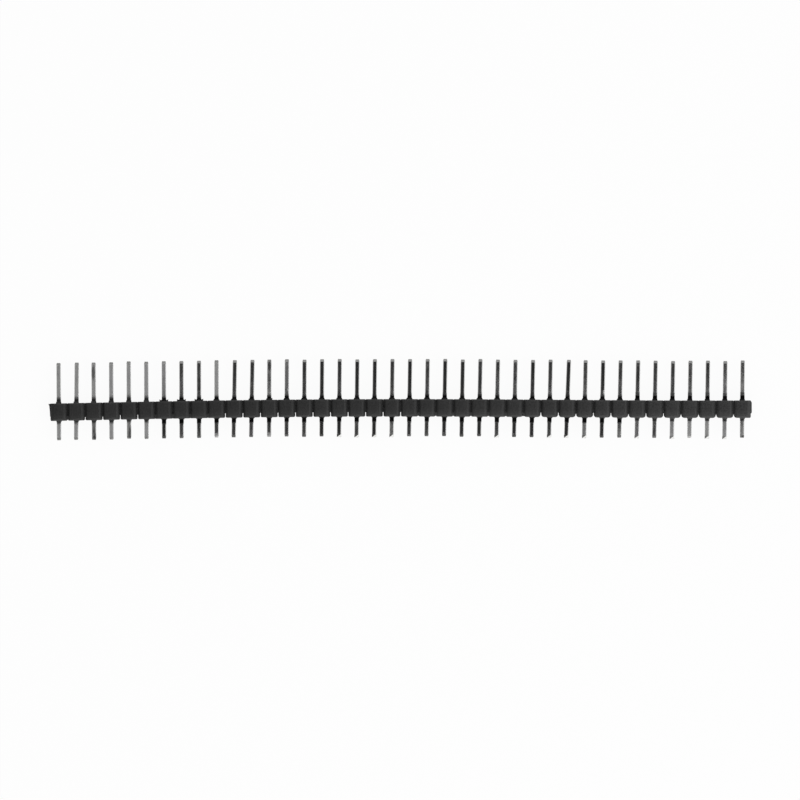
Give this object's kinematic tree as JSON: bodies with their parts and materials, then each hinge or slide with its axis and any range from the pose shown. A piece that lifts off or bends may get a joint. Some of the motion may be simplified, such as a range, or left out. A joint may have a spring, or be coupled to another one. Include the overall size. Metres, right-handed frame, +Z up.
{
  "type": "pin header strip",
  "caption": "Breakaway single-row pin header: square plated metal pins through a black moulded housing with snap-off notches between its cells.",
  "frame": {"origin": "middle of the strip's outline in plan, on the surface that its lower flank rests on", "axes": "+X along the strip from its first pin, +Y along the pins towards the tips of the long mating pins, +Z up from the resting flank through the housing's thickness"},
  "size_m": [0.102, 0.0119, 0.0025],
  "materials": {
    "housing_plastic": "satin",
    "tinned_brass": "satin"
  },
  "bodies": {
    "root": {"housing": "housing_plastic", "pin_01": "tinned_brass", "pin_02": "tinned_brass", "pin_03": "tinned_brass", "pin_04": "tinned_brass", "pin_05": "tinned_brass", "pin_06": "tinned_brass", "pin_07": "tinned_brass", "pin_08": "tinned_brass", "pin_09": "tinned_brass", "pin_10": "tinned_brass", "pin_11": "tinned_brass", "pin_12": "tinned_brass", "pin_13": "tinned_brass", "pin_14": "tinned_brass", "pin_15": "tinned_brass", "pin_16": "tinned_brass", "pin_17": "tinned_brass", "pin_18": "tinned_brass", "pin_19": "tinned_brass", "pin_20": "tinned_brass", "pin_21": "tinned_brass", "pin_22": "tinned_brass", "pin_23": "tinned_brass", "pin_24": "tinned_brass", "pin_25": "tinned_brass", "pin_26": "tinned_brass", "pin_27": "tinned_brass", "pin_28": "tinned_brass", "pin_29": "tinned_brass", "pin_30": "tinned_brass", "pin_31": "tinned_brass", "pin_32": "tinned_brass", "pin_33": "tinned_brass", "pin_34": "tinned_brass", "pin_35": "tinned_brass", "pin_36": "tinned_brass", "pin_37": "tinned_brass", "pin_38": "tinned_brass", "pin_39": "tinned_brass", "pin_40": "tinned_brass"}
  },
  "joints": []
}
